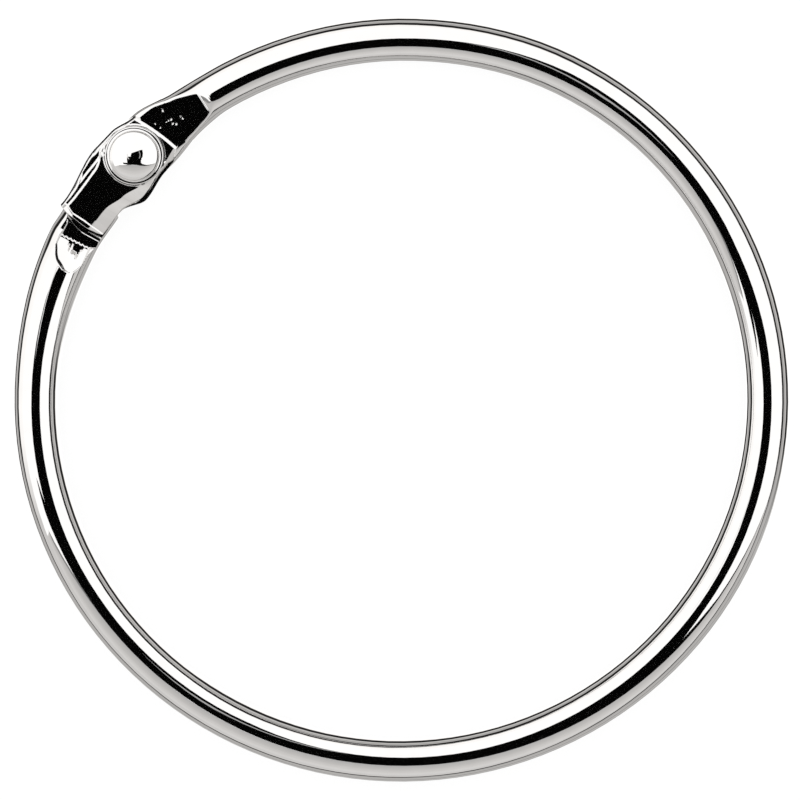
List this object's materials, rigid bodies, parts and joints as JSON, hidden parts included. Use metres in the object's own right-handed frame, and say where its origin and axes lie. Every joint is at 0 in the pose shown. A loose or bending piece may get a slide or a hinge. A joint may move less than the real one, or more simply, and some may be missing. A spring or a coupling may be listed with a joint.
{
  "type": "binder ring",
  "caption": "Round wire binder ring closed by a short hinged gate on a dome-headed rivet, for holding punched sheets together.",
  "frame": {"origin": "the ring's centre, on the surface that the ring lies on", "axes": "+Z is the ring's axis and points up, to the side of the rivet's head; +X and +Y lie in the ring's plane, with the rivet 136.3 degrees round from +X"},
  "size_m": [0.0574, 0.0574, 0.0047],
  "materials": {
    "wire_nickel": "bright nickel plate on round steel wire",
    "gate_nickel": "bright nickel plate, lightly scuffed on the flat face",
    "rivet_nickel": "bright nickel plate, smooth dome"
  },
  "bodies": {
    "ring": {"ring_wire": "wire_nickel", "ball_rivet": "rivet_nickel"},
    "gate": {"gate": "gate_nickel"}
  },
  "joints": [
    {"name": "gate_hinge", "type": "hinge", "parent": "ring", "child": "gate", "pos_m": [-0.01959, 0.01872, 0.0029], "axis": [0, 0, -1], "range_deg": [0, 90]}
  ]
}
